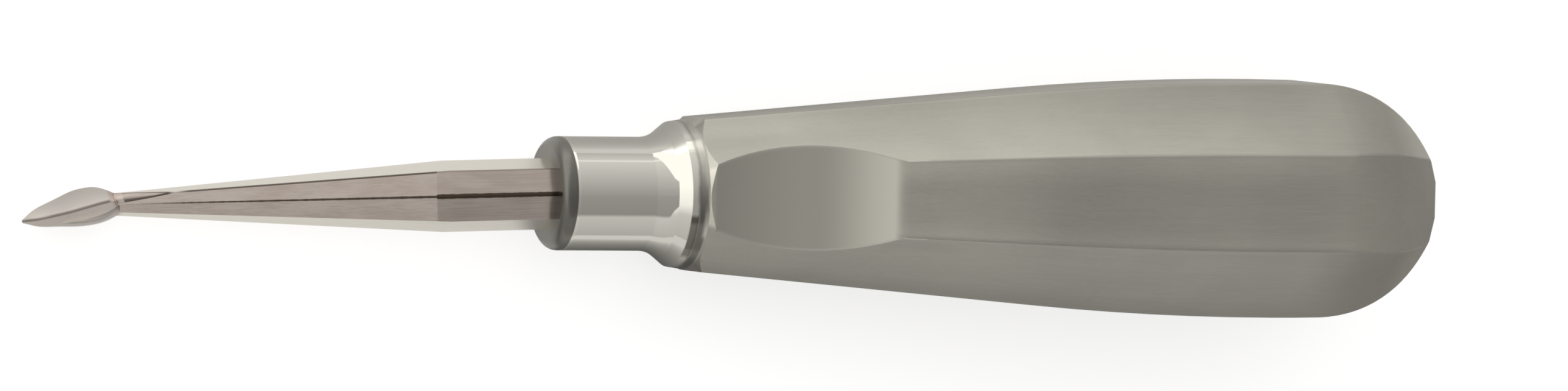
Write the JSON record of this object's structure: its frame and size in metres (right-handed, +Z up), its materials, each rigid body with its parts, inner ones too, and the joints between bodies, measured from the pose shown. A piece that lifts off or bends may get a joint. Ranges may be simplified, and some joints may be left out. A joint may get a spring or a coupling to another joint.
{
  "type": "surgical elevator",
  "caption": "Surgical elevator for loosening teeth: a gouge blade on a tapered faceted shank, set in a hollow faceted steel handle with a round polished neck and a thumb scoop.",
  "frame": {"origin": "on the flat that the tool lies on, at the middle of its straight stretch", "axes": "+X along the tool towards the butt of the handle, +Z up, out of the side with the thumb scoop"},
  "size_m": [0.154, 0.0244, 0.0259],
  "materials": {
    "handle_steel": "satin, brushed along the handle, with the neck mirror polished",
    "shank_steel": "fine satin, slightly warm"
  },
  "bodies": {
    "root": {"handle": "handle_steel", "blade_and_shank": "shank_steel"}
  },
  "joints": []
}
